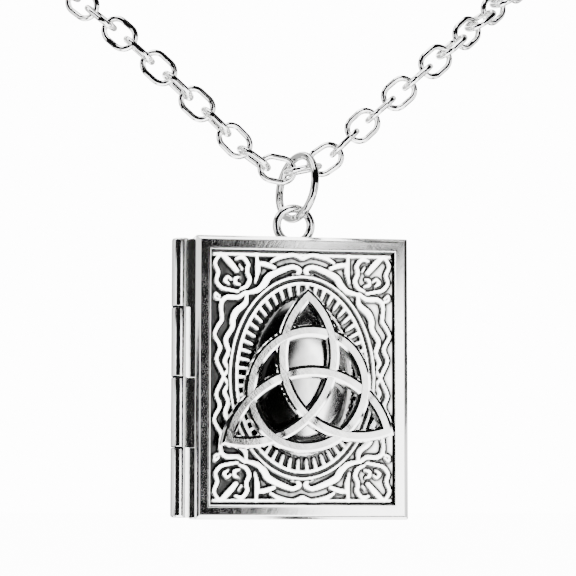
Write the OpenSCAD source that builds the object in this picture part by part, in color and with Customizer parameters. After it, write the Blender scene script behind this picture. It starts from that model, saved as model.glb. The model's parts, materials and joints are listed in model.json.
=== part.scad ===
// Book locket on its neck chain. Z is up, the front looks toward -Y, millimetres.
// The origin is where the clasp lies on the nape, and the whole loop hangs from there.

/* [Chain] */
// Width of the whole loop, wire middle to wire middle
neck_w = 125; // [115:1:135]
// Distance from the nape to the front of the loop
neck_depth = 110; // [100:1:120]
// Drop from the nape to the loop's lowest point
neck_drop = 114.6; // [106:0.1:124]
// Outside length of a link
link_l = 4.0; // [3.6:0.1:4.6]
// Outside width of a link
link_w = 3.0; // [2.8:0.1:3.4]
// Wire of the links
link_wire = 0.6; // [0.5:0.05:0.65]
// Play between two hooked pieces
play = 0.2; // [0.17:0.01:0.22]
// Outside length of the clasp
clasp_l = 9.0; // [8:0.5:12]
// Outside width of the clasp
clasp_w = 5.0; // [4.5:0.5:6]
// Wire of the clasp
clasp_wire = 1.0; // [0.8:0.1:1.2]
// How far the link that carries the ring sits to the right of the lowest point
hang_shift = 1.4; // [1:0.1:2]

/* [Ring and loop] */
// Outside diameter of the jump ring
ring_od = 7.2; // [6.8:0.1:8]
// Wire of the jump ring
ring_wire = 0.8; // [0.7:0.05:0.9]
// Play of the ring on its link
ring_play = 0.25; // [0.22:0.01:0.4]
// Turn of the ring away from facing the front
ring_turn = 67.5; // [62:0.5:80]
// Lean of the ring's top to the right
ring_lean = 7; // [0:0.5:7]
// How far the ring has slid down its link from the link's middle
ring_slide = 0.4; // [0.3:0.05:0.45]
// Outside diameter of the locket's loop
loop_od = 4.25; // [4:0.05:4.8]
// Wire of the locket's loop
loop_wire = 0.85; // [0.7:0.05:0.95]
// Height of the loop's centre over the covers
loop_rise = 1.35; // [1.1:0.05:1.6]
// Place of the loop from the middle of the covers
loop_x = -0.5; // [-0.8:0.05:0.6]

/* [Covers] */
// Width of the covers
cover_w = 21.0; // [20:0.1:24]
// Height of the covers
cover_h = 27.5; // [26:0.1:32]
// Depth of one cover
cover_depth = 2.45; // [2.2:0.05:2.6]
// Sheet of the cover walls
wall = 0.5; // [0.4:0.05:0.6]
// Sheet of the back face
back_t = 0.6; // [0.5:0.05:0.8]
// Gap between the closed covers
parting = 0.1; // [0.06:0.01:0.2]
// Width of the frame round the panel
frame_w = 1.4; // [1.2:0.05:1.6]
// Bevel on the outer edges
bevel = 0.45; // [0.2:0.05:0.6]
// Width of the bead on the frame's inner edge
bead_w = 0.22; // [0.15:0.01:0.3]
// Rise of that bead over the frame
bead_rise = 0.1; // [0.05:0.01:0.15]

/* [Hinge] */
// Diameter of the barrel
barrel_d = 1.6; // [1.5:0.05:1.8]
// Diameter of the pin
pin_d = 0.8; // [0.7:0.05:0.9]
// Clearance round the pin
pin_fit = 0.03; // [0.02:0.01:0.06]
// Gap between the barrel and the covers
hinge_gap = 0.5; // [0.3:0.05:0.8]
// Gap between two knuckles
knuckle_gap = 0.1; // [0.06:0.01:0.2]
// Number of knuckles
knuckles = 4; // [2:2:8]
// How far the barrel stops short of the covers at each end
barrel_inset = 0.15; // [0:0.05:0.5]
// Sheet of the leaves
leaf_t = 0.5; // [0.4:0.05:0.6]

/* [Embossed plate] */
// Sheet of the plate
plate_t = 0.4; // [0.3:0.05:0.5]
// Clearance round the plate in its cover
plate_fit = 0.05; // [0.03:0.01:0.1]
// Rise of the foliage over the panel
foliage_rise = 0.4; // [0.25:0.05:0.5]
// Width of the oval, over its outer ridge
oval_w = 14.4; // [13.4:0.1:15.2]
// Height of the oval, over its outer ridge
oval_h = 19.8; // [18.6:0.1:21]
// Width of the oval's outer ridge
ridge_w = 0.2; // [0.15:0.01:0.3]
// Groove between the ridge and the oval ring
groove_w = 0.2; // [0.15:0.01:0.3]
// Width of the oval ring
oval_ring_w = 0.45; // [0.35:0.05:0.6]
// Length of the flutes
flute_l = 1.1; // [0.8:0.05:1.3]
// Width of a flute
flute_w = 0.4; // [0.3:0.02:0.5]
// Spacing of the flutes along the ring
flute_pitch = 0.78; // [0.7:0.01:1]

/* [Knot] */
// Height of the knot's back over the panel
knot_lift = 1.5; // [1.2:0.05:1.8]
// Thickness of the knot
knot_t = 1.1; // [0.9:0.05:1.3]
// Width of the knot's bands
band_w = 1.12; // [1:0.02:1.25]
// Radius of the knot's ring, along the middle of its band
knot_ring_r = 5.6; // [5.3:0.02:5.8]
// Radius of the bows, along the middle of their bands
bow_r = 7.98; // [7.8:0.02:8.1]
// Distance of the bows' centres from the knot's centre
bow_offset = 6.3; // [6.2:0.01:6.45]
// Drop of the knot's centre under the middle of the panel
knot_drop = 1.2; // [0.6:0.05:1.6]
// Lean of the knot
knot_turn = 1.8; // [0:0.1:3]
// Bevel round the bands
knot_bevel = 0.14; // [0.05:0.01:0.2]

/* [Hidden] */
nickel = [0.80, 0.80, 0.79];
silver = [0.86, 0.86, 0.85];
bright = [0.93, 0.93, 0.92];
shade = [0.62, 0.62, 0.61];
round_fn = 64;
wire_fn = 24;
cut = 1;

// Half of the neck line, from the middle of the front up to the nape: how far it stands
// across, forward and down, in hundredths of the loop's half width, depth and drop.
neck_shape = [
    [0, 100, 100], [5.6, 100, 99.04], [13.6, 100.1, 95.03], [30.4, 98.55, 86.74],
    [58.4, 85.9, 72.43], [84.8, 72.27, 55.41], [100, 55.45, 34.47], [97.6, 37.27, 17],
    [76.8, 17.73, 5.24], [43.2, 4.55, 0.87], [0, 0, 0]];
neck_line = [for (p = neck_shape) [p.x * neck_w / 2, -p.y * neck_depth, -p.z * neck_drop] / 100];
line_steps = 24;
look_ahead = 0.6;

// Point on the smooth curve from b to c, where a and d are the points beside them.
function between(a, b, c, d, t) =
    (2 * b + (c - a) * t + (2 * a - 5 * b + 4 * c - d) * pow(t, 2) + (3 * b - a - 3 * c + d) * pow(t, 3)) / 2;
// Smooth curve through a list of points, with the points before and after its ends given.
function smooth(list, before, after, steps) =
    let (all = concat([before], list, [after]))
    concat([for (i = [0 : len(list) - 2], k = [0 : steps - 1])
                between(all[i], all[i + 1], all[i + 2], all[i + 3], k / steps)],
           [list[len(list) - 1]]);
// Length walked along a list of points, one value for each point.
function walked(list) =
    [for (i = 0, s = 0; i < len(list); s = s + norm(list[min(i + 1, len(list) - 1)] - list[i]), i = i + 1) s];
function unit(v) = v / norm(v);
function flip_x(p) = [-p.x, p.y, p.z];

half_line = smooth(neck_line, flip_x(neck_line[1]), flip_x(neck_line[len(neck_line) - 2]), line_steps);
half_walk = walked(half_line);
half_length = half_walk[len(half_walk) - 1];
along = [for (axis = [0 : 2]) [for (i = [0 : len(half_line) - 1]) [half_walk[i], half_line[i][axis]]]];
function on_line(s) = [for (axis = [0 : 2]) lookup(s, along[axis])];
function right_of_middle(s) = s < 0 ? flip_x(on_line(-s)) : on_line(s);

// Two hooked links stand this far apart, centre to centre, so that the play is left.
link_reach = link_l - 2 * link_wire - play;
clasp_reach = clasp_l / 2 + link_l / 2 - clasp_wire - link_wire - play;
// The clasp lies crosswise, so an even number of links runs up to it on each side.
function even_count(length) = 2 * ceil(length / (2 * link_reach));
right_run = half_length - clasp_reach - hang_shift;
left_run = half_length - clasp_reach + hang_shift;
right_links = even_count(right_run);
left_links = even_count(left_run);

// Directions at a length along the neck line: along the chain, across it and upwards.
function way_at(s) = unit(right_of_middle(min(s + look_ahead, half_length)) - right_of_middle(s - look_ahead));
function up_at(s) = unit([0, 0, 1] - way_at(s).z * way_at(s));

// The ring's own directions: level and in its plane, through its hole, and up in its plane.
ring_side = [cos(ring_turn), -sin(ring_turn), 0];
ring_level = [sin(ring_turn), cos(ring_turn), 0];
ring_through = cos(ring_lean) * ring_level - sin(ring_lean) * [0, 0, 1];
ring_up = cos(ring_lean) * [0, 0, 1] + sin(ring_lean) * ring_level;

// The ring hangs on both wires of its link. Where its plane cuts each wire gives the drop.
ring_r = (ring_od - ring_wire) / 2;
hung_r = ring_r - ring_wire / 2 - link_wire / 2 - ring_play;
link_bend = (link_w - link_wire) / 2;
carrier_way = way_at(hang_shift);
carrier_side = cross(up_at(hang_shift), carrier_way);
wire_cuts = [for (side = [-1, 1])
    let (wire = side * link_bend * carrier_side)
    wire - carrier_way * (ring_through * wire) / (ring_through * carrier_way)];
ring_drop = min([for (p = wire_cuts) sqrt(pow(hung_r, 2) - pow(p * ring_side, 2)) - p * ring_up]);
ring_centre = right_of_middle(hang_shift) - ring_slide * carrier_way - ring_drop * ring_up;
ring_bottom = ring_centre - ring_r * ring_up;
loop_r = (loop_od - loop_wire) / 2;
loop_centre = ring_bottom - [0, 0, loop_r - ring_wire / 2 - loop_wire / 2 - play];
covers_centre = loop_centre - [loop_x, 0, cover_h / 2 + loop_rise];

face_z = parting / 2 + cover_depth;
panel_z = face_z - wall;
window_w = cover_w - 2 * frame_w;
window_h = cover_h - 2 * frame_w;
hinge_x = -cover_w / 2 - hinge_gap - barrel_d / 2;
barrel_l = cover_h - 2 * barrel_inset;
knuckle_l = (barrel_l - (knuckles - 1) * knuckle_gap) / knuckles;

// A link or clasp lying flat, long along X.
module oval_link(length, width, wire) {
    bend = (width - wire) / 2;
    straight = length - width;
    for (side = [0, 1])
        rotate(180 * side)
            translate([straight / 2, 0, 0])
                rotate(-90)
                    rotate_extrude(angle = 180, $fn = round_fn)
                        translate([bend, 0])
                            circle(d = wire, $fn = wire_fn);
    for (side = [-1, 1])
        translate([0, side * bend, 0])
            rotate([0, 90, 0])
                cylinder(h = straight, d = wire, center = true, $fn = wire_fn);
}

// Puts a link at a length along the neck line, lying flat or turned by a quarter.
module hang_link(s, flat) {
    place = right_of_middle(s);
    way = way_at(s);
    up = up_at(s);
    side = cross(up, way);
    v = flat ? side : up;
    w = flat ? up : -side;
    multmatrix([[way.x, v.x, w.x, place.x], [way.y, v.y, w.y, place.y], [way.z, v.z, w.z, place.z]])
        oval_link(link_l, link_w, link_wire);
}

module chain_right() {
    color(silver)
        for (number = [0 : right_links])
            hang_link(hang_shift + number * right_run / right_links, number % 2 == 0);
}

module chain_left() {
    color(silver)
        mirror([1, 0, 0])
            for (number = [1 : left_links])
                hang_link(number * left_run / left_links - hang_shift, number % 2 == 0);
}

module clasp() {
    color(silver)
        rotate([90, 0, 0])
            oval_link(clasp_l, clasp_w, clasp_wire);
}

module jump_ring() {
    color(bright)
        multmatrix([[ring_side.x, ring_up.x, -ring_through.x, ring_centre.x],
                    [ring_side.y, ring_up.y, -ring_through.y, ring_centre.y],
                    [ring_side.z, ring_up.z, -ring_through.z, ring_centre.z]])
            rotate_extrude($fn = round_fn)
                translate([ring_r, 0])
                    circle(d = ring_wire, $fn = wire_fn);
}

// Stands a flat drawing up under the ring: its X stays, its Y goes up, its Z comes to the front.
module on_covers() {
    translate(covers_centre)
        rotate([90, 0, 0])
            children();
}

// Block of a cover with its outer face at the top and that face's edges bevelled.
module cover_block() {
    difference() {
        translate([-cover_w / 2, -cover_h / 2, parting / 2])
            cube([cover_w, cover_h, cover_depth]);
        for (side = [-1, 1]) {
            translate([side * cover_w / 2, 0, face_z])
                rotate([90, 0, 0])
                    edge_cut(cover_h + cut);
            translate([0, side * cover_h / 2, face_z])
                rotate([90, 0, 90])
                    edge_cut(cover_w + cut);
        }
    }
}

module edge_cut(length) {
    linear_extrude(length, center = true)
        polygon([[-bevel, 0], [0, bevel], [bevel, 0], [0, -bevel]]);
}

// Block in the middle of the covers, from one height to another.
module core(width, height, low, high) {
    translate([-width / 2, -height / 2, low])
        cube([width, height, high - low]);
}

function knuckle_y(k) = -barrel_l / 2 + knuckle_l / 2 + k * (knuckle_l + knuckle_gap);

module along_barrel(y, length, d) {
    translate([hinge_x, y, 0])
        rotate([90, 0, 0])
            cylinder(h = length, d = d, center = true, $fn = round_fn);
}

// Every second knuckle with its leaf, from the first one named, on the side the leaf lies.
module knuckle_row(first, side) {
    for (k = [first : 2 : knuckles - 1])
        difference() {
            union() {
                along_barrel(knuckle_y(k), knuckle_l, barrel_d);
                translate([hinge_x, knuckle_y(k) - knuckle_l / 2, side > 0 ? parting / 2 : -parting / 2 - leaf_t])
                    cube([-cover_w / 2 + wall / 2 - hinge_x, knuckle_l, leaf_t]);
            }
            along_barrel(knuckle_y(k), knuckle_l + cut, pin_d + 2 * pin_fit);
        }
}

module hanging_loop() {
    translate([loop_x, cover_h / 2 + loop_rise, 0])
        rotate_extrude($fn = round_fn)
            translate([loop_r, 0])
                circle(d = loop_wire, $fn = wire_fn);
}

module back_cover() {
    color(nickel)
        on_covers() {
            difference() {
                union() {
                    mirror([0, 0, 1])
                        cover_block();
                    hanging_loop();
                }
                core(cover_w - 2 * wall, cover_h - 2 * wall, -face_z + back_t, cut);
                // The loop stays clear of the front cover's top edge
                core(cover_w, cover_h + 2 * parting, -parting / 2, cover_depth);
            }
            knuckle_row(1, -1);
        }
}

module hinge_pin() {
    color(shade)
        on_covers()
            along_barrel(0, barrel_l, pin_d);
}

module front_cover() {
    color(silver)
        on_covers() {
            difference() {
                cover_block();
                core(cover_w - 2 * wall, cover_h - 2 * wall, 0, panel_z);
                core(window_w, window_h, 0, face_z + cut);
            }
            difference() {
                core(window_w + 2 * bead_w, window_h + 2 * bead_w, face_z - wall / 2, face_z + bead_rise);
                core(window_w, window_h, 0, face_z + cut);
            }
            knuckle_row(0, 1);
        }
}

// Foliage of the upper left quarter, each stroke a list of points: across and down the
// window from its corner, in hundredths of its half width and half height, and the
// stroke's width in hundredths of a millimetre.
petal_left = [[11, 3, 34], [5, 10.5, 34], [8.5, 18, 38], [6.5, 24.5, 36], [12, 30, 36], [21, 31.8, 34], [30, 33, 30]];
petal_right = [[28, 7, 28], [35, 6, 38], [40.5, 11, 40], [39.5, 17, 38], [42.5, 23, 42], [39.5, 28.5, 40], [33, 31, 30]];
petal_bar = [[13, 4, 46], [21, 10, 56], [28.5, 16.5, 44]];
petal_curls = [[[23, 23.5, 20], [19, 21.5, 30], [16, 24.5, 34], [20, 27, 24]],
               [[31, 21.5, 20], [27.5, 22.5, 34], [27, 26, 36], [32, 27.5, 24]],
               [[31.5, 12, 16], [34.5, 15, 22]]];
outer_wave = [[38, 33.5, 36], [30, 37.5, 46], [19, 37.5, 46], [12.8, 41, 42], [12, 48, 38], [12.8, 55, 38],
              [8, 61, 36], [5, 67.5, 34], [11, 77, 36], [7, 86, 34], [12, 95, 36], [14.5, 99.5, 30]];
bud = [[10, 37, 26], [6, 34.5, 26], [5.5, 38, 26], [10, 39.5, 26]];
inner_wave = [[39.5, 34.5, 30], [38, 42, 50], [28.5, 48.5, 62], [24.5, 55, 56], [24, 61.5, 46], [17, 71, 46],
              [20, 80, 42], [16, 88, 38], [19.5, 94, 36], [15, 99.5, 30]];
big_scroll = [[40, 34, 36], [51.5, 31.5, 54], [58.5, 26.5, 64], [64, 20.5, 66], [79.5, 15, 54], [90, 12.8, 44],
              [96.5, 15.5, 50], [94, 19, 30]];
top_leaf = [[49.5, 2, 24], [50.5, 8, 36], [51.5, 15, 48], [49, 25, 22]];
top_scroll = [[51, 10.5, 40], [60, 11.2, 48], [69, 13.5, 40]];
top_wave = [[66, 9, 30], [76, 5, 44], [90, 3, 46], [99, 6, 34]];
low_leaf = [[67, 27, 30], [79, 23.5, 40], [91, 19.5, 30]];
side_leaf = [[41.5, 49, 20], [37, 56, 34], [31, 63, 20]];
quarter_strokes = concat([petal_left, petal_right, petal_bar, outer_wave, bud, inner_wave, big_scroll,
                          top_leaf, top_scroll, top_wave, low_leaf, side_leaf], petal_curls);
stroke_steps = 2;
stroke_soften = 0.02;
window_rim = 0.08;

function from_corner(p) = [-window_w / 2 * (1 - p.x / 100), window_h / 2 * (1 - p.y / 100), p.z / 100];

// A stroke of changing width along a smooth curve, as a closed outline with round ends.
module stroke(points) {
    line = [for (p = points) from_corner(p)];
    last = len(line) - 1;
    curve = smooth(line, 2 * line[0] - line[1], 2 * line[last] - line[last - 1], stroke_steps);
    end = len(curve) - 1;
    side = [for (i = [0 : end])
        let (d = curve[min(i + 1, end)] - curve[max(i - 1, 0)])
        unit([-d.y, d.x]) * curve[i].z / 2];
    polygon(concat([for (i = [0 : end]) [curve[i].x, curve[i].y] + side[i]],
                   [for (i = [end : -1 : 0]) [curve[i].x, curve[i].y] - side[i]]));
    for (i = [0, end])
        translate([curve[i].x, curve[i].y])
            circle(d = curve[i].z, $fn = 6);
}

module oval(inset) {
    scale([oval_w / 2 - inset, oval_h / 2 - inset])
        circle(1, $fn = oval_fn);
}

module foliage() {
    intersection() {
        square([window_w - 2 * window_rim, window_h - 2 * window_rim], center = true);
        difference() {
            for (across = [0, 1], down = [0, 1])
                mirror([across, 0])
                    mirror([0, down])
                        for (points = quarter_strokes)
                            stroke(points);
            oval(-groove_w);
        }
    }
}

// The flutes stand at equal steps along the oval, found by walking round it.
flute_out = ridge_w + groove_w + oval_ring_w;
flute_in = flute_out + flute_l;
function on_oval(angle, inset) = [(oval_w / 2 - inset) * cos(angle), (oval_h / 2 - inset) * sin(angle)];
oval_step = 3;
oval_path = [for (angle = [0 : oval_step : 360]) on_oval(angle, flute_out)];
oval_walk = walked(oval_path);
oval_angle = [for (i = [0 : len(oval_path) - 1]) [oval_walk[i], oval_step * i]];
oval_length = oval_walk[len(oval_walk) - 1];
flute_count = 2 * round(oval_length / flute_pitch / 2);

module flutes() {
    for (k = [0 : flute_count - 1]) {
        angle = lookup((k + 0.5) * oval_length / flute_count, oval_angle);
        a = on_oval(angle, flute_out - oval_ring_w / 2);
        b = on_oval(angle, flute_in);
        across = unit([b.y - a.y, a.x - b.x]) * flute_w / 2;
        polygon([a + across, b + 0.7 * across, b - 0.7 * across, a - across]);
    }
}

module raised(low, high) {
    translate([0, 0, low])
        linear_extrude(high - low)
            children();
}

// The dome is a stack of ovals on a quarter ellipse, flat on top where the knot rests.
dome_in = flute_in + ridge_w;
crown = 0.3;
dome_rings = 4;
oval_fn = 48;
dome_fn = 32;
module dome(inset, rise) {
    hull()
        for (k = [0 : dome_rings]) {
            share = crown + (1 - crown) * k / dome_rings;
            height = rise * sqrt(1 - pow((share - crown) / (1 - crown), 2));
            raised(panel_z - plate_t / 2, panel_z + max(height, 0))
                scale([oval_w / 2 - dome_in - inset, oval_h / 2 - dome_in - inset])
                    circle(share, $fn = dome_fn);
        }
}

// Everything that stands up from the panel round the dome: foliage, ridge, ring and flutes.
module relief() {
    foliage();
    difference() {
        oval(0);
        oval(ridge_w);
    }
    difference() {
        oval(ridge_w + groove_w);
        oval(flute_out);
    }
    flutes();
}

module embossed_plate() {
    color(shade)
        on_covers()
            difference() {
                union() {
                    core(cover_w - 2 * (wall + plate_fit), cover_h - 2 * (wall + plate_fit),
                         panel_z - plate_t, panel_z);
                    raised(panel_z - plate_t / 2, panel_z + foliage_rise)
                        offset(delta = stroke_soften)
                            relief();
                    dome(0, knot_lift);
                }
                // The dome is pressed from the sheet, so it is hollow behind
                translate([0, 0, -plate_t])
                    dome(plate_t, knot_lift - plate_t / 2);
            }
}

// The overlap of two circles, which a bow of the knot runs round.
module lens(r) {
    intersection_for (side = [-1, 1])
        translate(bow_offset * [side * cos(30), sin(30)])
            circle(r, $fn = 2 * round_fn);
}

module knot_outline(slim) {
    band = band_w - 2 * slim;
    difference() {
        circle(knot_ring_r + band / 2, $fn = 2 * round_fn);
        circle(knot_ring_r - band / 2, $fn = 2 * round_fn);
    }
    for (turn = [0, 120, 240])
        rotate(turn)
            difference() {
                lens(bow_r + band / 2);
                lens(bow_r - band / 2);
            }
}

module trinity_knot() {
    back = panel_z + knot_lift;
    color(bright)
        on_covers()
            translate([0, -knot_drop, 0])
                rotate(knot_turn) {
                    raised(back, back + knot_t - knot_bevel)
                        knot_outline(0);
                    raised(back, back + knot_t)
                        knot_outline(knot_bevel);
                }
}

chain_left();
chain_right();
clasp();
jump_ring();
back_cover();
hinge_pin();
front_cover();
embossed_plate();
trinity_knot();
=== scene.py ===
# %% [markdown]
# # A book locket on its neck chain
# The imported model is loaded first. It is the fixed frame: every piece made below stands where
# the model says, in metres, with Z up and the front of the locket towards -Y.

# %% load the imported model
import bpy
import json
import math
import numpy as np
from mathutils import Matrix, Vector

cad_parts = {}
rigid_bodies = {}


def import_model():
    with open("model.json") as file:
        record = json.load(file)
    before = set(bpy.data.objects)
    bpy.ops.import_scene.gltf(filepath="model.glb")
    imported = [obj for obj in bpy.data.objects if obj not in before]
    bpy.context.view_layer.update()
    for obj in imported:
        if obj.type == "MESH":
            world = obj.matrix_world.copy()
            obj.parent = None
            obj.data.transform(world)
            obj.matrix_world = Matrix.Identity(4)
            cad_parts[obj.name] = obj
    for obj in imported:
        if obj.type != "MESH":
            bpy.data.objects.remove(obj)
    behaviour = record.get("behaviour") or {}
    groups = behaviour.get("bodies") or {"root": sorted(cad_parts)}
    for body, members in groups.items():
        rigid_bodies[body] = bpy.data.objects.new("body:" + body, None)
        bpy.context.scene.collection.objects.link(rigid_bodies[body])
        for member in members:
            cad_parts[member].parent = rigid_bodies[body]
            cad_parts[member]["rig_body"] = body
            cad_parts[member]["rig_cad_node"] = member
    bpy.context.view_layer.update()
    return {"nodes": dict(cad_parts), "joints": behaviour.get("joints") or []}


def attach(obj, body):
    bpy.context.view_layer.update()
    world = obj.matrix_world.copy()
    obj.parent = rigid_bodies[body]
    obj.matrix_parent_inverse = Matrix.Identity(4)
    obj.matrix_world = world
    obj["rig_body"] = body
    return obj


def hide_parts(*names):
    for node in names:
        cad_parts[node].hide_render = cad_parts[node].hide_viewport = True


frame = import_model()
print("triangles", {name: len(node.data.polygons) for name, node in frame["nodes"].items()})

# %% [markdown]
# Small work is easier to think of in millimetres, lying on a bench: X across the locket, Y up
# its face and Z out of it, counted from the middle of the two closed covers. A piece is made
# there and then carried to its place in one step. That place is known from the cover hinge,
# whose line runs 11.8 mm to the left of the middle.

# %% the bench and the way from it to the locket
mm = 0.001
hinge_x = -11.8
hinge = next(joint for joint in frame["joints"] if joint["name"] == "cover_hinge")
covers_middle = Vector(hinge["pos_m"]) - Vector((hinge_x, 0, 0)) * mm
locket_place = (Matrix.Translation(covers_middle) @ Matrix.Rotation(math.radians(90), 4, "X")
                @ Matrix.Scale(mm, 4))
print("middle of the covers in mm", [round(v / mm, 3) for v in covers_middle])

# %% [markdown]
# Operators act on whatever is selected. A forgotten selection is the usual way to change the
# wrong mesh, so each step below first clears the selection or picks the one piece it works on.

# %% select one piece
def clear_selection():
    if bpy.context.object and bpy.context.object.mode != "OBJECT":
        bpy.ops.object.mode_set(mode="OBJECT")
    bpy.ops.object.select_all(action="DESELECT")


def work_on(piece):
    """Make one piece the only one selected, so that the next operator acts on it alone."""
    clear_selection()
    piece.select_set(True)
    bpy.context.view_layer.objects.active = piece
    return piece


clear_selection()
print(len(bpy.context.selected_objects), "pieces are selected at the start")

# %% [markdown]
# The photograph is taken from a little to the left of the locket and a little below it, with a
# long lens. The camera's place and lens come from matching the corners of the covers, the tips
# of the knot and the links of the chain with the picture.

# %% camera
camera_data = bpy.data.cameras.new("camera")
camera = bpy.data.objects.new("camera", camera_data)
bpy.context.scene.collection.objects.link(camera)
bpy.context.scene.camera = camera
camera_data.sensor_width = 36
camera_data.lens = 139.317
camera_data.clip_start = 0.01
camera_data.clip_end = 20
camera_roll = math.radians(0.103)
camera.location = Vector((-39.083, -325.156, -146.871)) * mm
aim = Vector((-0.0704, -110, -126.287)) * mm
turn = (aim - camera.location).to_track_quat("-Z", "Y").to_matrix().to_4x4()
camera.matrix_world = (Matrix.Translation(camera.location) @ turn
                       @ Matrix.Rotation(camera_roll, 4, "Z"))
print("camera stands", round((aim - camera.location).length / mm), "mm from the locket")

# %% [markdown]
# Polished silver has no colour of its own: it shows what stands round it. A jeweller shoots it
# in a white tent with dark cards. The white fills the metal and the cards draw its edges. Here
# the world and a pale floor are the white room that the camera sees. The floor is kept out of
# the mirror images, which only the tent fills.

# %% white room
room_white = 14.0
floor_level = -0.19
world = bpy.data.worlds.new("studio")
bpy.context.scene.world = world
world.use_nodes = True
world.node_tree.nodes["Background"].inputs["Color"].default_value = (1, 1, 1, 1)
world.node_tree.nodes["Background"].inputs["Strength"].default_value = room_white

clear_selection()
bpy.ops.mesh.primitive_plane_add(size=12, location=(0, 0, floor_level))
floor = bpy.context.active_object
floor.name = "floor"
pale_floor = bpy.data.materials.new("pale_floor")
pale_floor.use_nodes = True
floor_shader = pale_floor.node_tree.nodes["Principled BSDF"]
floor_shader.inputs["Base Color"].default_value = (0.95, 0.95, 0.95, 1)
floor_shader.inputs["Roughness"].default_value = 1.0
floor_shader.inputs["Specular IOR Level"].default_value = 0.0
floor.data.materials.append(pale_floor)
floor.visible_glossy = False
print("floor under the locket at z", floor.location.z)

# %% [markdown]
# The tent is a large ball round the piece. Real cards on stands would do too, but some of them
# would hide the locket from behind. A ball that only mirror images see never does, and it can be
# painted white or dark by the direction in which each spot of it lies.

# %% tent ball
tent_middle = Vector((0.001, -0.112, -0.125))
clear_selection()
bpy.ops.mesh.primitive_uv_sphere_add(segments=64, ring_count=32, radius=1.5,
                                     location=tent_middle)
tent = bpy.context.active_object
tent.name = "light_tent"
tent.visible_camera = False
tent.visible_diffuse = False
tent.visible_shadow = False
tent.visible_transmission = False
print("tent of", tent.dimensions.x, "m")

# %% [markdown]
# A material is a small machine of nodes. Each input of a node takes a plain value or another
# node's output. One helper gives both, so that the recipes below read like lists.

# %% add a node
def new_node(tree, kind, inputs, operation=None):
    """Add a node, and give each input a value or join it to another node's output."""
    node = tree.nodes.new(kind)
    if operation:
        node.operation = operation
    for name, value in inputs.items():
        if isinstance(value, bpy.types.NodeSocket):
            tree.links.new(value, node.inputs[name])
        else:
            node.inputs[name].default_value = value
    return node


tent_paint = bpy.data.materials.new("tent_paint")
tent_paint.use_nodes = True
paint_tree = tent_paint.node_tree
paint_tree.nodes.clear()
spot = new_node(paint_tree, "ShaderNodeTexCoord", {})
direction = new_node(paint_tree, "ShaderNodeVectorMath", {0: spot.outputs["Object"]}, "NORMALIZE")
print(tent_paint.name, "starts from the direction of each spot")

# %% [markdown]
# The paint is worked out in sums. A card is a place where several bands cross, so the helpers
# make a soft band, keep what is in both of two cards, or in either of them. 1 stands for dark
# and 0 for white. The numbers of a direction run from -1 to 1, so a band up to 2 is open there.

# %% sums for the paint
open_end = 2


def figure(operation, first, second=0.0):
    return new_node(paint_tree, "ShaderNodeMath", {0: first, 1: second},
                    operation).outputs["Value"]


def both(first, second):
    return figure("MULTIPLY", first, second)


def either(first, second):
    return figure("MAXIMUM", first, second)


def along(axis):
    """How far a spot of the tent lies along this direction, from -1 to 1."""
    return new_node(paint_tree, "ShaderNodeVectorMath",
                    {0: direction.outputs["Vector"], 1: Vector(axis).normalized()},
                    "DOT_PRODUCT").outputs["Value"]


def soft_step(value, start, end):
    step = new_node(paint_tree, "ShaderNodeMapRange",
                    {"Value": value, "From Min": start, "From Max": end})
    step.interpolation_type = "SMOOTHSTEP"
    return step.outputs["Result"]


def between(value, low, high, feather=0.02):
    """One inside a band of a value and nought outside it, with soft borders."""
    return both(soft_step(value, low - feather, low + feather),
                soft_step(value, high + feather, high - feather))


rightward, forward, upward = along((1, 0, 0)), along((0, -1, 0)), along((0, 0, 1))
sight = along((0.178, 0.979, 0.094))
slant = both(rightward, upward)
print("the paint is mixed from", len(paint_tree.nodes), "nodes so far")

# %% [markdown]
# Three sets of cards darken the front. The broad one at the left ends 10 degrees past the
# middle, so that its edge falls down the left side of the panel's ground and of the dome. The
# small one at the right gives the right sides of the wires their line. Wire mirrors the whole
# tent in a narrow stripe, so a card high on the right and curved bands in the slanting corners
# draw the black lines along the links. The spot behind the camera stays white.

# %% dark cards
high_right = both(between(slant, 0.05, open_end, 0.015), between(upward, 0.17, open_end))
curved_bands = between(figure("ABSOLUTE", slant), 0.34, 0.46)
wire_cards = both(either(high_right, curved_bands), between(sight, -0.97, 0.42))

right_card = both(between(rightward, 0.46, 0.8, 0.01), between(upward, -0.3, 0.3))
right_card = both(right_card, between(forward, 0.3, open_end))

card_edge = math.sin(math.radians(10.2))
wings = both(between(rightward, -0.97, card_edge, 0.012),
             between(figure("ABSOLUTE", upward), 0.15, open_end))
left_card = either(between(rightward, -0.84, card_edge, 0.012), wings)
left_card = both(both(left_card, between(upward, -0.45, 0.82)),
                 both(between(forward, 0.2, open_end), between(slant, -0.42, open_end)))
darkness = either(either(wire_cards, right_card), left_card)
print("the broad card ends", round(card_edge, 3), "to the right of the middle")

# %% [markdown]
# Behind the piece and far to each side the tent is grey, so that the silver stands out from the
# white room when it is seen from there. From the front only the outermost rims look that way,
# and they get the thin grey outline that parts bright silver from a bright ground. A white slit
# and a dark strip keep the flat back from looking like plain paint.

# %% grey behind
back_darkness, strip_darkness, side_darkness = 0.86, 0.97, 0.72
beside_slit = either(between(rightward, -0.055, open_end), between(rightward, -open_end, -0.32))
back_grey = both(both(between(forward, -open_end, -0.2, 0.15), beside_slit), back_darkness)
back_strip = both(between(rightward, 0.15, 0.3), between(forward, -open_end, -0.2, 0.1))
side_grey = either(between(rightward, 0.88, open_end, 0.05),
                   between(rightward, -open_end, -0.9, 0.05))
for grey in (back_grey, both(back_strip, strip_darkness), both(side_grey, side_darkness)):
    darkness = either(darkness, grey)

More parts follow.
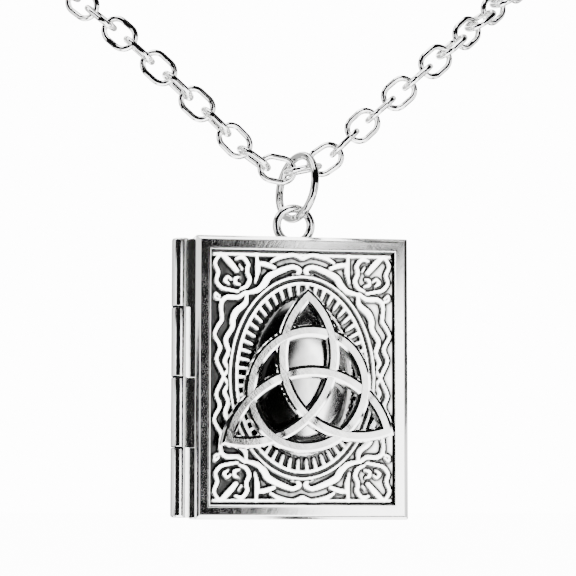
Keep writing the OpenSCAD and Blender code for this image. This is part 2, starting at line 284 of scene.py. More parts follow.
tent_white = 6.5
tent_dark = 0.008
glow = new_node(paint_tree, "ShaderNodeMapRange",
                {"Value": darkness, "To Min": tent_white, "To Max": tent_dark})
emission = new_node(paint_tree, "ShaderNodeEmission", {"Strength": glow.outputs["Result"]})
new_node(paint_tree, "ShaderNodeOutputMaterial", {"Surface": emission.outputs["Emission"]})
tent.data.materials.append(tent_paint)
print("tent white", tent_white, "and dark", tent_dark, "from", len(paint_tree.nodes), "nodes")

# %% [markdown]
# All the metal is silver plate, but no two surfaces were finished alike. One recipe makes them
# all: a bright metal, a slow waviness from the polishing wheel, a finer grain, and scratches
# that are noise drawn out in one direction. The amounts differ for each piece.

# %% layers of a metal surface
wave_depth, grain_depth = 0.00004, 0.000006


def noise_at(tree, place, scale, detail):
    noise = new_node(tree, "ShaderNodeTexNoise",
                     {"Vector": place, "Scale": scale, "Detail": detail})
    return noise.outputs["Fac"]


def drawn_out(tree, place, scales, turn):
    """Places for noise that is long in one direction and narrow in the others."""
    mapping = new_node(tree, "ShaderNodeMapping",
                       {"Vector": place, "Rotation": (0, turn, 0),
                        "Scale": [1 / scale for scale in scales]})
    mapping.vector_type = "TEXTURE"
    return mapping.outputs["Vector"]


def bump_shader(tree, shader, height, strength, depth):
    """Add one more layer of bumps over those that the surface already has."""
    bump = new_node(tree, "ShaderNodeBump",
                    {"Height": height, "Strength": strength, "Distance": depth})
    for below in shader.inputs["Normal"].links:
        tree.links.new(below.from_socket, bump.inputs["Normal"])
    tree.links.new(bump.outputs["Normal"], shader.inputs["Normal"])


print("waves up to", wave_depth * 1000, "mm deep and grain up to", grain_depth * 1000, "mm")

# %% [markdown]
# The recipe itself. The wave and the grain are given as (strength, scale), the scratches as
# (strength, scales, turn). The roughness wanders a little, as hand polishing leaves it, since
# an even one looks like plastic.

# %% silver plate
def silver(name, colour, roughness, spread, wave=None, grain=None, scratch=None):
    material = bpy.data.materials.new(name)
    material.use_nodes = True
    tree = material.node_tree
    shader = tree.nodes["Principled BSDF"]
    shader.inputs["Base Color"].default_value = (*colour, 1)
    shader.inputs["Metallic"].default_value = 1.0
    place = new_node(tree, "ShaderNodeTexCoord", {}).outputs["Object"]
    if wave:
        bump_shader(tree, shader, noise_at(tree, place, wave[1], 2.0), wave[0], wave_depth)
    if grain:
        bump_shader(tree, shader, noise_at(tree, place, grain[1], 4.0), grain[0], grain_depth)
    if scratch:
        lines = noise_at(tree, drawn_out(tree, place, scratch[1], scratch[2]), 1.0, 3.0)
        bump_shader(tree, shader, lines, scratch[0], grain_depth)
    rough = new_node(tree, "ShaderNodeMapRange",
                     {"Value": noise_at(tree, place, 900.0, 5.0), "From Min": 0.3,
                      "From Max": 0.7, "To Min": max(roughness - spread, 0.02),
                      "To Max": roughness + spread})
    tree.links.new(rough.outputs["Result"], shader.inputs["Roughness"])
    print(name, "roughness", roughness)
    return material


bright_wire = silver("bright_wire", (0.95, 0.95, 0.94), 0.05, 0.02, wave=(0.2, 900))
bright_ring = silver("bright_ring", (0.6, 0.6, 0.59), 0.05, 0.02, wave=(0.4, 500))
cover_plating = silver("cover_plating", (0.93, 0.93, 0.92), 0.15, 0.03, wave=(0.12, 380),
                       grain=(0.3, 9000), scratch=(0.9, (6000, 6000, 900), 0.5))
knot_satin = silver("knot_satin", (0.62, 0.62, 0.61), 0.11, 0.06, wave=(0.3, 420),
                    grain=(0.5, 9000), scratch=(0.6, (4500, 4500, 900), -0.7))
knot_polish = silver("knot_polish", (0.95, 0.95, 0.94), 0.06, 0.02, wave=(0.25, 500))

# %% [markdown]
# Two metals are painted near black as shade: the sides of the knot, and what lies inside the
# hinge. No light gets in between the knuckles, so the rod's metal is painted dark, with no bright
# edge at a flat view either.

# %% dark metals
knot_side = silver("knot_side", (0.06, 0.06, 0.06), 0.3, 0.05, grain=(0.2, 6000))
rod_plating = silver("rod_plating", (0.02, 0.02, 0.02), 0.3, 0.03, grain=(0.15, 6000))
rod_shader = rod_plating.node_tree.nodes["Principled BSDF"]
rod_shader.inputs["Specular Tint"].default_value = (0.02, 0.02, 0.02, 1)

# %% [markdown]
# The panel's silver was blackened all over, and then its high parts were polished bright again,
# so black stays in its hollows. The same dark also stands for painted shade in the hollows and
# creases, and for a painted reflection of the dark card on the ground and the dome. Painting that
# by eye would not fit the relief. So the mesh carries two marks at each point, worked out from
# its height further below: one says how dark it is, with the blackening and the painted shade
# together, and satin how dull.

# %% metal that follows the marks
def mark_of(tree, name):
    mark = tree.nodes.new("ShaderNodeAttribute")
    mark.attribute_name = name
    return mark.outputs["Fac"]


panel_colour = (0.94, 0.94, 0.93)
blackened_and_shaded = 0.015
satin_roughness = 0.24
satin_metal = 0.2
panel_plating = silver("panel_plating", panel_colour, 0.06, 0.02, wave=(0.35, 500))
panel_tree = panel_plating.node_tree
panel_shader = panel_tree.nodes["Principled BSDF"]
polish = panel_shader.inputs["Roughness"].links[0].from_socket
rough = new_node(panel_tree, "ShaderNodeMath",
                 {0: mark_of(panel_tree, "satin"), 1: satin_roughness, 2: polish}, "MULTIPLY_ADD")
panel_tree.links.new(rough.outputs["Value"], panel_shader.inputs["Roughness"])
dull = new_node(panel_tree, "ShaderNodeMapRange",
                {"Value": mark_of(panel_tree, "satin"), "From Min": 0.5, "To Min": 1.0,
                 "To Max": satin_metal})
panel_tree.links.new(dull.outputs["Result"], panel_shader.inputs["Metallic"])
# The dark mark mixes the plate's colour towards near black: blackening in the hollows, together
# with painted shade and a painted reflection of the dark card.
mix = panel_tree.nodes.new("ShaderNodeMix")
mix.data_type = "RGBA"
mix.inputs["A"].default_value = (*panel_colour, 1)
mix.inputs["B"].default_value = (*[blackened_and_shaded * value for value in panel_colour], 1)
panel_tree.links.new(mark_of(panel_tree, "recess"), mix.inputs["Factor"])
panel_tree.links.new(mix.outputs["Result"], panel_shader.inputs["Base Color"])
print(panel_plating.name, "reads its darkness and its dullness from the mesh")

# %% [markdown]
# The panel in the front cover is one stamped sheet: scroll foliage, four corner rosettes, an
# oval of small flutes and a smooth dome. On the real piece a die presses it from both sides, so
# all of it is one skin. Separate ridges laid on a plate would show seams, so a fine grid is
# raised point by point, as a sculpting brush would do it. Each stroke of the foliage is a row of
# points (across, down, width): across and down are percent of a quarter of the window, counted
# from its corner, and the width is in hundredths of a millimetre. The quarter is repeated in
# mirror.

# %% strokes of the foliage
half_window = (9.1, 12.35)
foliage = {
    "petal_left": [[11, 3, 34], [5, 10.5, 34], [8.5, 18, 38], [6.5, 24.5, 36], [12, 30, 36],
                   [21, 31.8, 34], [30, 33, 30]],
    "petal_right": [[28, 7, 28], [35, 6, 38], [40.5, 11, 40], [39.5, 17, 38], [42.5, 23, 42],
                    [39.5, 28.5, 40], [33, 31, 30]],
    "petal_bar": [[13, 4, 46], [21, 10, 56], [28.5, 16.5, 44]],
    "left_curl": [[23, 23.5, 20], [19, 21.5, 30], [16, 24.5, 34], [20, 27, 24]],
    "right_curl": [[31, 21.5, 20], [27.5, 22.5, 34], [27, 26, 36], [32, 27.5, 24]],
    "small_curl": [[31.5, 12, 16], [34.5, 15, 22]],
    "outer_wave": [[38, 33.5, 36], [30, 37.5, 46], [19, 37.5, 46], [12.8, 41, 42], [12, 48, 38],
                   [12.8, 55, 38], [8, 61, 36], [5, 67.5, 34], [11, 77, 36], [7, 86, 34],
                   [12, 95, 36], [14.5, 99.5, 30]],
    "bud": [[10, 37, 26], [6, 34.5, 26], [5.5, 38, 26], [10, 39.5, 26]],
    "inner_wave": [[39.5, 34.5, 30], [38, 42, 50], [28.5, 48.5, 62], [24.5, 55, 56],
                   [24, 61.5, 46], [17, 71, 46], [20, 80, 42], [16, 88, 38], [19.5, 94, 36],
                   [15, 99.5, 30]],
    "big_scroll": [[40, 34, 36], [51.5, 31.5, 54], [58.5, 26.5, 64], [64, 20.5, 66],
                   [79.5, 15, 54], [90, 12.8, 44], [96.5, 15.5, 50], [94, 19, 30]],
    "top_leaf": [[49.5, 2, 24], [50.5, 8, 36], [51.5, 15, 48], [49, 25, 22]],
    "top_scroll": [[51, 10.5, 40], [60, 11.2, 48], [69, 13.5, 40]],
    "top_wave": [[66, 9, 30], [76, 5, 44], [90, 3, 46], [99, 6, 34]],
    "low_leaf": [[67, 27, 30], [79, 23.5, 40], [91, 19.5, 30]],
    "side_leaf": [[41.5, 49, 20], [37, 56, 34], [31, 63, 20]],
}
print(len(foliage), "strokes in a quarter, repeated four times")

# %% [markdown]
# A stroke runs smoothly through its few points, like a wire bent over pegs. Straight pieces
# would show corners, and many more points would be hard to change.

# %% smooth lines
steps_between_points = 6
fuller = 1.12


def smooth_stroke(points):
    """Places on a smooth line through the given points, in mm, with the half width at each."""
    points = np.array(points, float)
    padded = np.vstack([2 * points[0] - points[1], points, 2 * points[-1] - points[-2]])
    line = []
    for a, b, c, d in zip(padded, padded[1:], padded[2:], padded[3:]):
        for t in np.arange(steps_between_points) / steps_between_points:
            line.append(0.5 * (2 * b + (c - a) * t + (2 * a - 5 * b + 4 * c - d) * t ** 2
                               + (3 * b - a - 3 * c + d) * t ** 3))
    line = np.array(line + [points[-1]])
    return np.column_stack([half_window[0] * (1 - line[:, 0] / 100),
                            half_window[1] * (1 - line[:, 1] / 100),
                            line[:, 2] / 200 * fuller])


print("the longest stroke has", len(smooth_stroke(foliage["outer_wave"])), "places")

# %% [markdown]
# The section of a stroke is round: steep at the foot, where it draws a dark line, and flat on
# the back, where it shines. Where strokes meet, the higher one is kept, so they grow together
# as they do in a die.

# %% raise the strokes
plate_size = (19.9, 26.4)
columns, rows = 240, 320
relief_rise = 0.4
full_half_width = 0.2
across = np.linspace(-plate_size[0] / 2, plate_size[0] / 2, columns + 1)
up_face = np.linspace(-plate_size[1] / 2, plate_size[1] / 2, rows + 1)
x, y = np.meshgrid(across, up_face)


def round_back(off, half):
    """The height of a round section of height 1, this far from its middle line."""
    return np.sqrt(np.clip(1 - (off / half) ** 2, 0, 1))


def raise_stroke(x, y, height, points):
    line = smooth_stroke(points)
    for (x0, y0, r0), (x1, y1, r1) in zip(line, line[1:]):
        reach = max(r0, r1)
        near = ((x > min(x0, x1) - reach) & (x < max(x0, x1) + reach)
                & (y > min(y0, y1) - reach) & (y < max(y0, y1) + reach))
        if not near.any():
            continue
        px, py = x[near] - x0, y[near] - y0
        run = (x1 - x0) ** 2 + (y1 - y0) ** 2 + 1e-9
        share = np.clip((px * (x1 - x0) + py * (y1 - y0)) / run, 0, 1)
        away = np.hypot(px - share * (x1 - x0), py - share * (y1 - y0))
        half = r0 + share * (r1 - r0)
        tall = relief_rise * np.clip(half / full_half_width, 0, 1) ** 0.6
        height[near] = np.maximum(height[near], tall * round_back(away, half))


foliage_height = np.zeros(x.shape)
for stroke in foliage.values():
    raise_stroke(np.abs(x), np.abs(y), foliage_height, stroke)
print("foliage stands", round(foliage_height.max(), 2), "mm high on", x.size, "points")

# %% [markdown]
# The oval's bands lie at set depths inside its edge. For each spot that depth is found by
# halving: which smaller oval, every half width less by the same amount, passes through it? The
# foliage ends just outside the oval.

# %% depth inside the oval
oval = (7.2, 9.9)
halvings = 22


def depth_in_oval(x, y):
    low, high = np.full(x.shape, -6.0), np.full(x.shape, 7.1)
    for _ in range(halvings):
        middle = (low + high) / 2
        outside = (x / (oval[0] - middle)) ** 2 + (y / (oval[1] - middle)) ** 2 > 1
        high = np.where(outside, middle, high)
        low = np.where(outside, low, middle)
    return (low + high) / 2


depth = depth_in_oval(x, y)
foliage_height[depth > -0.15] = 0
print("deepest spot of the oval", round(depth.max(), 2), "mm")

# %% [markdown]
# Two plain ridges run round the oval, with a groove between them, and inside them stand the
# flutes. They are small ribs at equal steps along the oval, not at equal angles, or else they
# would crowd at its ends. They grow narrower towards the dome.

# %% ridges and flutes of the oval
flute_pitch = 0.86
flute_line = 1.2
flute_rise = 0.36


def band(depth, start, end, tall):
    return tall * round_back(depth - (start + end) / 2, (end - start) / 2)


def flutes(x, y, depth):
    angles = np.linspace(0, 2 * np.pi, 721)
    a, b = oval[0] - flute_line, oval[1] - flute_line
    steps = np.hypot(np.diff(a * np.cos(angles)), np.diff(b * np.sin(angles)))
    walk = np.concatenate([[0], np.cumsum(steps)])
    count = 2 * round(walk[-1] / flute_pitch / 2)
    here = np.arctan2(y / (oval[1] - depth), x / (oval[0] - depth)) % (2 * np.pi)
    phase = np.interp(here, angles, walk) / walk[-1] * count
    off = np.abs(phase - np.round(phase)) * walk[-1] / count
    half = 0.2 - 0.05 * np.clip((depth - 0.85) / 1.1, 0, 1)
    ends = np.clip((1.98 - depth) / 0.25, 0, 1) * np.clip((depth - 0.75) / 0.05, 0, 1)
    return flute_rise * round_back(off, half) * np.sqrt(ends), count


flute_height, flute_count = flutes(x, y, depth)
oval_height = np.maximum.reduce([band(depth, -0.05, 0.24, 0.3), band(depth, 0.56, 0.92, 0.42),
                                 flute_height])
print(flute_count, "flutes in the oval")

# %% [markdown]
# The dome fills the middle of the oval, with a level top and a round fall to its foot. A small
# ledge lies along the panel's top and bottom. Pressing softens every edge a little, which a
# grid shows when each point is averaged with its neighbours.

# %% the height of the stamped skin
dome = (5.05, 7.75)
dome_rise = 1.49
level_part = 0.3


def blurred(height, times):
    """Soften a grid of heights by averaging each point with its neighbours."""
    for _ in range(times):
        for axis in (0, 1):
            ahead = np.roll(height, 1, axis)
            behind = np.roll(height, -1, axis)
            height = (ahead + 2 * height + behind) / 4
    return height


def dome_height(x, y):
    share = np.hypot(x / dome[0], y / dome[1])
    return dome_rise * round_back(np.clip(share - level_part, 0, 1), 1 - level_part)


from_side = half_window[0] - np.abs(x)
from_end = half_window[1] - np.abs(y)
ledge = 0.3 * round_back(from_end - 0.42, 0.17) * (from_side > 0.25)
relief = blurred(np.maximum.reduce([foliage_height, oval_height, ledge]), 1)
skin = relief + dome_height(x, y)
print("stamped skin rises", round(skin.max(), 2), "mm")

# %% [markdown]
# Now the marks for the metal. The black stays in the hollows, round the feet of the strokes, in
# the border and in the groove between the two ridges: blackening of the silver, with painted
# shade there as well. On the open ground and the dome the dark is a painted reflection of the
# dark card, strong at the left and fading to the right, where the photograph shows them bright.
# The backs of the strokes and the dome are satin.

# %% dark and satin marks
def eased(share):
    """From 0 to 1 with a soft start and a soft end."""
    share = np.clip(share, 0, 1)
    return share ** 2 * (3 - 2 * share)


# Blackening in the creases, and painted shade there too: the deeper a point lies below its
# softened surroundings, the darker it is.
hollow = np.clip((blurred(skin, 9) - skin) / 0.045, 0, 1) ** 0.6
# Painted light: the crease dark is made a tenth lighter towards the right.
hollow *= 1 - 0.1 * eased((x + 3) / 9)
# Painted reflection of the dark card: the open ground is darkened at the left and fades to bright
# at the right.
ground = np.clip(1 - relief / 0.06, 0, 1) * 0.93 * eased((-0.5 - x) / 4.5)
# Black round the feet of the strokes: blackening, with painted shade where they rise from the
# ground.
foot = (np.clip(blurred(np.minimum(relief, 0.2), 10) / 0.03 - 0.7, 0, 1)
        * np.clip(1.3 - relief / 0.12, 0, 1))
on_dome = depth > 2.15
border = (from_side < 0.22) | (from_end < 0.26)
groove = (depth > 0.25) & (depth < 0.58)
recess = np.maximum.reduce([hollow, ground, 0.97 * foot])
# Painted reflection of the dark card on the dome: dark at the left, fading to bright at the
# right.
recess = np.where(on_dome, 0.93 * eased((1.0 - x) / 3.0), recess)
# Near black in the border and the groove: blackening, with painted shade in the gaps.
recess[border | groove] = 0.98
satin = np.maximum(np.clip(relief / 0.1 - 0.9, 0, 1), 0.45 * ground * (1 - foot))
satin[on_dome] = 0.5
print(round(100 * recess.mean()), "percent of the panel is blackened")

# %% [markdown]
# The heights go onto a flat grid. An operator gives the grid's points in an order of its own,
# so they are sorted by place first. Meshes are read and written as whole arrays, which is far
# quicker than point by point.

# %% press a grid
def points_of(piece):
    flat = np.empty(3 * len(piece.data.vertices), np.float32)
    piece.data.vertices.foreach_get("co", flat)
    return flat.reshape(-1, 3).astype(float)


def put_points(piece, points):
    piece.data.vertices.foreach_set("co", np.asarray(points, np.float32).ravel())
    piece.data.update()


def pressed_grid(name, across_faces, up_faces, heights):
    clear_selection()
    bpy.ops.mesh.primitive_grid_add(x_subdivisions=across_faces, y_subdivisions=up_faces, size=1)
    sheet = bpy.context.active_object
    sheet.name = name
    bpy.ops.object.mode_set(mode="EDIT")
    bpy.ops.transform.resize(value=(plate_size[0], plate_size[1], 1))
    bpy.ops.object.mode_set(mode="OBJECT")
    points = points_of(sheet)
    order = np.lexsort((np.round(points[:, 0], 4), np.round(points[:, 1], 4)))
    points[order, 2] = heights.ravel()
    put_points(sheet, points)
    return sheet, order


panel_top = 2.0
panel, order = pressed_grid("embossed_panel", columns, rows, panel_top + skin)
for mark, amounts in (("recess", recess), ("satin", satin)):
    marks = np.empty(len(order), np.float32)
    marks[order] = amounts.ravel()
    panel.data.attributes.new(mark, "FLOAT", "POINT").data.foreach_set("value", marks)
print(panel.name, "has", len(panel.data.polygons), "faces on its front")

# %% [markdown]
# A coarser grid, turned over, is the back of the sheet, where the die leaves only a soft echo
# of the pattern. Bridging the borders of the two grids closes the rim.

# %% close the sheet
plate_sheet = 0.4
dome_inside = 0.93
coarser = 4
echo = (panel_top - plate_sheet + dome_height(x, y) * dome_inside
        + 0.35 * blurred(relief, 12))
panel_back, _ = pressed_grid("panel_back", columns // coarser, rows // coarser,
                             echo[::coarser, ::coarser])
work_on(panel_back)
bpy.ops.object.mode_set(mode="EDIT")
bpy.ops.mesh.select_all(action="SELECT")
bpy.ops.mesh.flip_normals()
bpy.ops.object.mode_set(mode="OBJECT")
work_on(panel)
panel_back.select_set(True)
bpy.ops.object.join()
bpy.ops.object.mode_set(mode="EDIT")
bpy.ops.mesh.select_mode(type="EDGE")
bpy.ops.mesh.select_all(action="DESELECT")
bpy.ops.mesh.select_non_manifold(extend=False)
bpy.ops.mesh.bridge_edge_loops()
bpy.ops.object.mode_set(mode="OBJECT")
bpy.ops.object.shade_smooth_by_angle(angle=math.radians(62))
panel.data.materials.append(panel_plating)
print("the closed sheet has", len(panel.data.polygons), "faces")

# %% [markdown]
# A finished piece is turned up from the bench to its place. The turn is kept in its mesh, so
# that the piece itself stays at the origin, and the piece rides on the body that carries it.

# %% carry a piece to its place
def carry(piece, place, body, stands_for):
    clear_selection()
    piece.data.transform(piece.matrix_world)
    piece.matrix_world = Matrix.Identity(4)
    piece.data.transform(place)
    piece.data.update()
    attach(piece, body)
    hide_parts(stands_for)
    triangles = sum(len(face.vertices) - 2 for face in piece.data.polygons)
    print(piece.name, "rides on", body, "with", triangles, "triangles")


carry(panel, locket_place, "front", "embossed_plate")

# %% [markdown]
# The knot is cut from thick sheet: three equal arcs that cross and meet in three points, laced
# with a ring. Its top is brushed and its edges are bevelled and polished. A flat outline raised
# in one go would lose the weave, so each strand is spun on its own from one section, a small
# upright rectangle with its two upper corners cut off.

# %% spin a strand
band_width = 1.22
knot_bottom, knot_top = 3.5, 4.6
knot_bevel = 0.32
upper_part = 4


def section(radius, start):
    """The section of a strand, standing this far from the bench's origin at a start angle."""
    clear_selection()
    way = math.radians(start)
    bpy.ops.mesh.primitive_plane_add(
        size=1, rotation=(math.radians(90), 0, way),
        location=(radius * math.cos(way), radius * math.sin(way), (knot_top + knot_bottom) / 2))
    strand = bpy.context.active_object
    strand.scale = (band_width, knot_top - knot_bottom, 1)
    bpy.ops.object.transform_apply(location=True, rotation=True, scale=True)
    bpy.ops.object.mode_set(mode="EDIT")
    bpy.ops.mesh.select_all(action="DESELECT")
    bpy.ops.object.mode_set(mode="OBJECT")
    for vertex in strand.data.vertices:
        vertex.select = vertex.co.z > upper_part
    bpy.ops.object.mode_set(mode="EDIT")
    bpy.ops.mesh.select_mode(type="VERT")
    bpy.ops.mesh.bevel(affect="VERTICES", offset=knot_bevel, offset_type="OFFSET", segments=2,
                       profile=0.5)
    bpy.ops.mesh.select_all(action="SELECT")
    return strand


def spun_strand(name, radius, start, sweep, steps):
    """A bevelled bar bent round the bench's origin. A full ring has no end faces."""
    strand = section(radius, start)
    strand.name = name
    if sweep >= 360:
        bpy.ops.mesh.delete(type="ONLY_FACE")
        bpy.ops.mesh.select_all(action="SELECT")
    bpy.ops.mesh.spin(steps=steps, angle=math.radians(sweep), center=(0, 0, 0), axis=(0, 0, 1))
    bpy.ops.mesh.select_all(action="SELECT")
    bpy.ops.mesh.remove_doubles(threshold=0.0005)
    bpy.ops.mesh.normals_make_consistent(inside=False)
    bpy.ops.object.mode_set(mode="OBJECT")
    print(name, "of radius", radius, "mm has", len(strand.data.polygons), "faces")
    return strand


ring_radius = 5.6
knot_ring = spun_strand("knot_ring", ring_radius, 0, 360, 144)

# %% [markdown]
# The weave alternates: over, under, over, under along every strand. Where a strand goes under,
# its top is let down a little, so that the other one's bevel shows across it. The places of
# the crossings are counted in degrees round the strand's own middle.

# %% weave
dip = 0.02
under_half_width = 1.25
soft_length = 0.65


def let_down(strand, places):
    """Lower the top of a strand at the given angles, level under the other, soft beside it."""
    points = points_of(strand)
    angles = np.degrees(np.arctan2(points[:, 1], points[:, 0]))
    radius = np.hypot(points[:, 0], points[:, 1])
    for place in places:
        off = np.abs((angles - place + 180) % 360 - 180) * np.radians(1) * radius
        lower = dip * eased((under_half_width - off) / soft_length)
        points[:, 2] -= np.where(points[:, 2] > upper_part, lower, 0)
    put_points(strand, points)


let_down(knot_ring, [66 + 120 * number for number in range(3)])
print("the ring goes under at", 3, "places, by", dip, "mm")

# %% [markdown]
# Each arc is spun a little too long. A cut along the line from the knot's middle through the
# tip then mitres its two ends, so that the three arcs meet in clean points.

# %% cut the arcs to length
def choose(piece, kind, wanted):
    """Select the edges or faces, in edit mode, for which wanted(element) is true."""
    work_on(piece)
    bpy.ops.object.mode_set(mode="EDIT")
    bpy.ops.mesh.select_mode(type="EDGE" if kind == "edges" else "FACE")
    bpy.ops.mesh.select_all(action="DESELECT")
    bpy.ops.object.mode_set(mode="OBJECT")
    count = 0
    for element in getattr(piece.data, kind):
        element.select = bool(wanted(element))
        count += element.select
    bpy.ops.object.mode_set(mode="EDIT")
    return count


def cut_tip(strand, tip, side):
    tip = Vector((*tip, 0))
    choose(strand, "polygons", lambda face: (face.center.xy - tip.xy).length < 2.4)
    normal = Vector((-tip.y, tip.x, 0)).normalized() * side
    bpy.ops.mesh.bisect(plane_co=(0, 0, 0), plane_no=normal, use_fill=True, clear_outer=True)
    bpy.ops.object.mode_set(mode="OBJECT")


arc_radius = 7.98
arc_offset = 6.3
tip_distance = 8.974
spare = 7
thirty, third = math.radians(30), math.radians(120)
arc_middle = (arc_offset * math.cos(thirty), arc_offset * math.sin(thirty))
tip_angle = math.degrees(math.acos(arc_middle[0] / arc_radius))
arc_sweep = 2 * tip_angle + 60
arcs = []
for number in range(3):
    arc = spun_strand("knot_strand", arc_radius, tip_angle + spare, arc_sweep + 2 * spare, 110)
    let_down(arc, [-30 + 16.88, -30 - 44.25])
    arc.location = (-arc_middle[0], arc_middle[1], 0)
    work_on(arc)
    bpy.ops.object.transform_apply(location=True)
    cut_tip(arc, (0, tip_distance), 1)
    cut_tip(arc, (-tip_distance * math.sin(third), tip_distance * math.cos(third)), -1)
    arc.rotation_euler = (0, 0, third * number)
    work_on(arc)
    bpy.ops.object.transform_apply(rotation=True)
    arcs.append(arc)
print(len(arcs), "arcs of", round(arc_sweep, 1), "degrees")

# %% [markdown]
# The strands are joined into one piece. It was fixed by hand, so it sits a little turned, low
# and out of square on the dome, as the photograph shows. The level tops are brushed, the bevels
# polished and the sides painted dark for shade, all chosen by the way a face looks.

# %% finish the knot
knot_turn = math.radians(1.8)
knot_y = -1.2
knot_skew = 0.03
knot = work_on(knot_ring)
for arc in arcs:
    arc.select_set(True)
bpy.ops.object.join()
knot.name = "laced_knot"
knot.rotation_euler = (0, 0, knot_turn)
knot.location = (0, knot_y, 0)
bpy.ops.object.transform_apply(location=True, rotation=True)
points = points_of(knot)
points[:, 0] += knot_skew * (points[:, 1] - knot_y) + 0.12
points[:, 1] += knot_skew * points[:, 0]
put_points(knot, points)
for metal in (knot_satin, knot_polish, knot_side):
    knot.data.materials.append(metal)
# Steep faces get the sides' painted shade.
for face in knot.data.polygons:
    face.material_index = 0 if face.normal.z > 0.96 else 1 if face.normal.z > 0.2 else 2
bpy.ops.object.shade_smooth_by_angle(angle=math.radians(14))
carry(knot, locket_place, "front", "trinity_knot")

# %% [markdown]
# The covers are pressed and soldered boxes. Their solids are already right, with the hollow
# inside, the hinge leaves and the loop, so a copy of each is taken, which is safer than building
# them anew. Its loose triangles are merged and its flat faces joined again, or else no edge
# could be rounded cleanly.

# %% a clean copy of a solid
def clean_copy(node_name, name):
    piece = frame["nodes"][node_name].copy()
    piece.data = frame["nodes"][node_name].data.copy()
    piece.name = name
    piece.parent = None
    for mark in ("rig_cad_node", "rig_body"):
        if mark in piece:
            del piece[mark]
    bpy.context.scene.collection.objects.link(piece)
    piece.data.transform(locket_place.inverted())
    work_on(piece)
    if piece.data.has_custom_normals:
        bpy.ops.mesh.customdata_custom_splitnormals_clear()
    bpy.ops.object.mode_set(mode="EDIT")
    bpy.ops.mesh.select_all(action="SELECT")
    bpy.ops.mesh.remove_doubles(threshold=0.0008)
    bpy.ops.mesh.dissolve_limited(angle_limit=math.radians(0.6))
    bpy.ops.object.mode_set(mode="OBJECT")
    print(name, "has", len(piece.data.polygons), "faces before its edges are rounded")
    return piece


front_shell = clean_copy("front_cover", "front_shell")
back_shell = clean_copy("back_cover", "back_shell")
hinge_rod = clean_copy("hinge_pin", "hinge_rod")

# %% [markdown]
# The hinge has four knuckles on one rod. The model leaves 0.1 mm between them, so that they can
# turn. On the real piece they almost touch, so their ends are drawn out over most of that gap.

# %% close the knuckles
knuckle_length = 6.825
knuckle_gap = 0.1
drawn = 0.035


def close_knuckles(shell):
    points = points_of(shell)
    beside_cover = points[:, 0] < -9.95
    for gap in (-knuckle_length, 0, knuckle_length):
        for side in (-1, 1):
            end = gap + knuckle_gap / 2 * side
            points[beside_cover & (np.abs(points[:, 1] - end) < 0.01), 1] -= drawn * side
    put_points(shell, points)
    print(shell.name, "leaves", round(knuckle_gap - 2 * drawn, 3), "mm between its knuckles")


close_knuckles(front_shell)
close_knuckles(back_shell)

# %% [markdown]
# Polishing rounds every edge, most of all the outer ends of the barrel, and a round edge
# catches the light. An edge is sharp where its two faces turn away from each other. The sharp
# ones are picked by where they lie: the rims of the knuckles, the corners of the covers, and
# last the long straight edges.

# %% pick edges
barrel_radius = 0.8


def sharp_edges(piece, least_turn):
    """The edges whose two faces meet at more than this angle in degrees."""
    normals = {}
    for face in piece.data.polygons:
        for key in face.edge_keys:
            normals.setdefault(key, []).append(face.normal.copy())
    return {key for key, pair in normals.items()
            if len(pair) == 2 and pair[0].angle(pair[1], 0) > math.radians(least_turn)}


def ends_of(piece, edge):
    return [piece.data.vertices[number].co for number in edge.vertices]


def is_rim(a, b, outermost):
    off = [math.hypot(end.x - hinge_x, end.z) for end in (a, b)]
    return (abs(a.y - b.y) < 0.01 and max(a.x, b.x) < -11.45
            and min(off) > barrel_radius - 0.02 and max(off) < barrel_radius + 0.02
            and (abs(a.y) > 13.4) == outermost)


def is_corner(a, b):
    return (abs(a.z - b.z) > 0.9 * (a - b).length > 0.5 and min(abs(a.x), abs(b.x)) > 10.4
            and min(abs(a.y), abs(b.y)) > 13.6)


print(len(sharp_edges(front_shell, 60)), "sharp edges on", front_shell.name)

# %% [markdown]
# The rims come first, while the barrel is still a clean round bar. The round of an inner rim is
# wide enough that the gap reads as a dark line from the front.

# %% round the edges
outer_rim, inner_rim, corner_round = 0.28, 0.15, 0.35
shortest = 3


def round_edges(piece, wanted, by, steps, clamped=True):
    count = choose(piece, "edges", wanted)
    bpy.ops.mesh.bevel(offset=by, offset_type="OFFSET", segments=steps, profile=0.5,
                       clamp_overlap=clamped)
    bpy.ops.object.mode_set(mode="OBJECT")
    return count


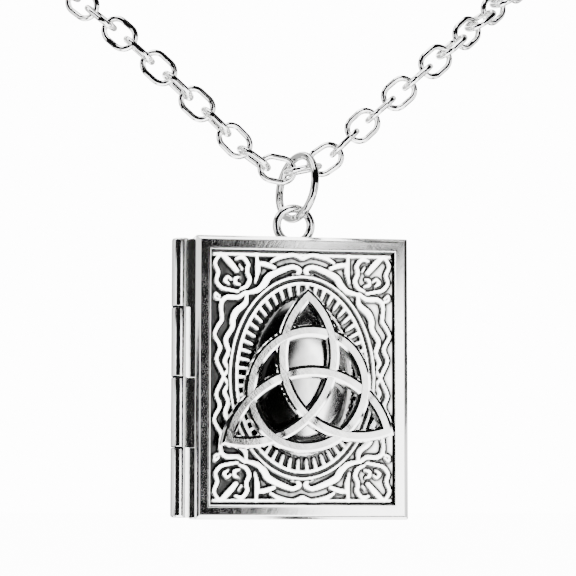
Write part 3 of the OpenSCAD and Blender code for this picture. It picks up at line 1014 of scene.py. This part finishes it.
def soften(shell, width):
    rims = 0
    for outermost, by in ((True, outer_rim), (False, inner_rim)):
        sharp = sharp_edges(shell, 60)
        rims += round_edges(shell, lambda edge: edge.key in sharp and is_rim(
            *ends_of(shell, edge), outermost), by, 4, False)
    corners = round_edges(shell, lambda edge: is_corner(*ends_of(shell, edge)), corner_round, 4)
    sharp = sharp_edges(shell, 25)

    def is_long(a, b):
        return (a - b).length > shortest

    count = round_edges(shell, lambda edge: edge.key in sharp and is_long(
        *ends_of(shell, edge)), width, 3)
    print(shell.name, "has", count, "long edges rounded by", width, "mm,", corners,
          "corners and", rims, "rim edges")


soften(front_shell, 0.07)
soften(back_shell, 0.12)

# %% [markdown]
# The ends of the knuckles that face each other get the rod's painted shade, near black, and all
# the rest the scratched plate of the covers. The rod itself wears the same painted shade. Then
# the three pieces are carried up to the locket.

# %% finish the covers and the rod
def finish(piece, metal, body, stands_for):
    work_on(piece)
    bpy.ops.object.mode_set(mode="EDIT")
    bpy.ops.mesh.select_all(action="SELECT")
    bpy.ops.mesh.remove_doubles(threshold=0.0002)
    bpy.ops.object.mode_set(mode="OBJECT")
    bpy.ops.object.shade_smooth_by_angle(angle=math.radians(32))
    piece.data.materials.clear()
    piece.data.materials.append(metal)
    if metal is cover_plating:
        darken_knuckle_ends(piece)
    carry(piece, locket_place, body, stands_for)


def darken_knuckle_ends(shell):
    shell.data.materials.append(rod_plating)
    count = 0
    # Painted shade: the knuckle ends that face each other are made near black.
    for face in shell.data.polygons:
        middle = face.center
        if (abs(face.normal.y) > 0.3 and abs(middle.y) < 13.3
                and math.hypot(middle.x - hinge_x, middle.z) < barrel_radius + 0.05):
            face.material_index = 1
            count += 1
    print(count, "faces between the knuckles of", shell.name, "are dull")


finish(front_shell, cover_plating, "front", "front_cover")
finish(back_shell, cover_plating, "back", "back_cover")
finish(hinge_rod, rod_plating, "back", "hinge_pin")

# %% [markdown]
# The chain, its clasp and the jump ring are round wire bent to shape. The model's own solids
# are smooth enough for that, so they stay and only get their metal.

# %% wire pieces
for name, metal in (("chain_left", bright_wire), ("chain_right", bright_wire),
                    ("clasp", bright_wire), ("jump_ring", bright_ring)):
    node = frame["nodes"][name]
    node.data.materials.clear()
    node.data.materials.append(metal)
    print(name, len(node.data.polygons), "triangles of", metal.name)
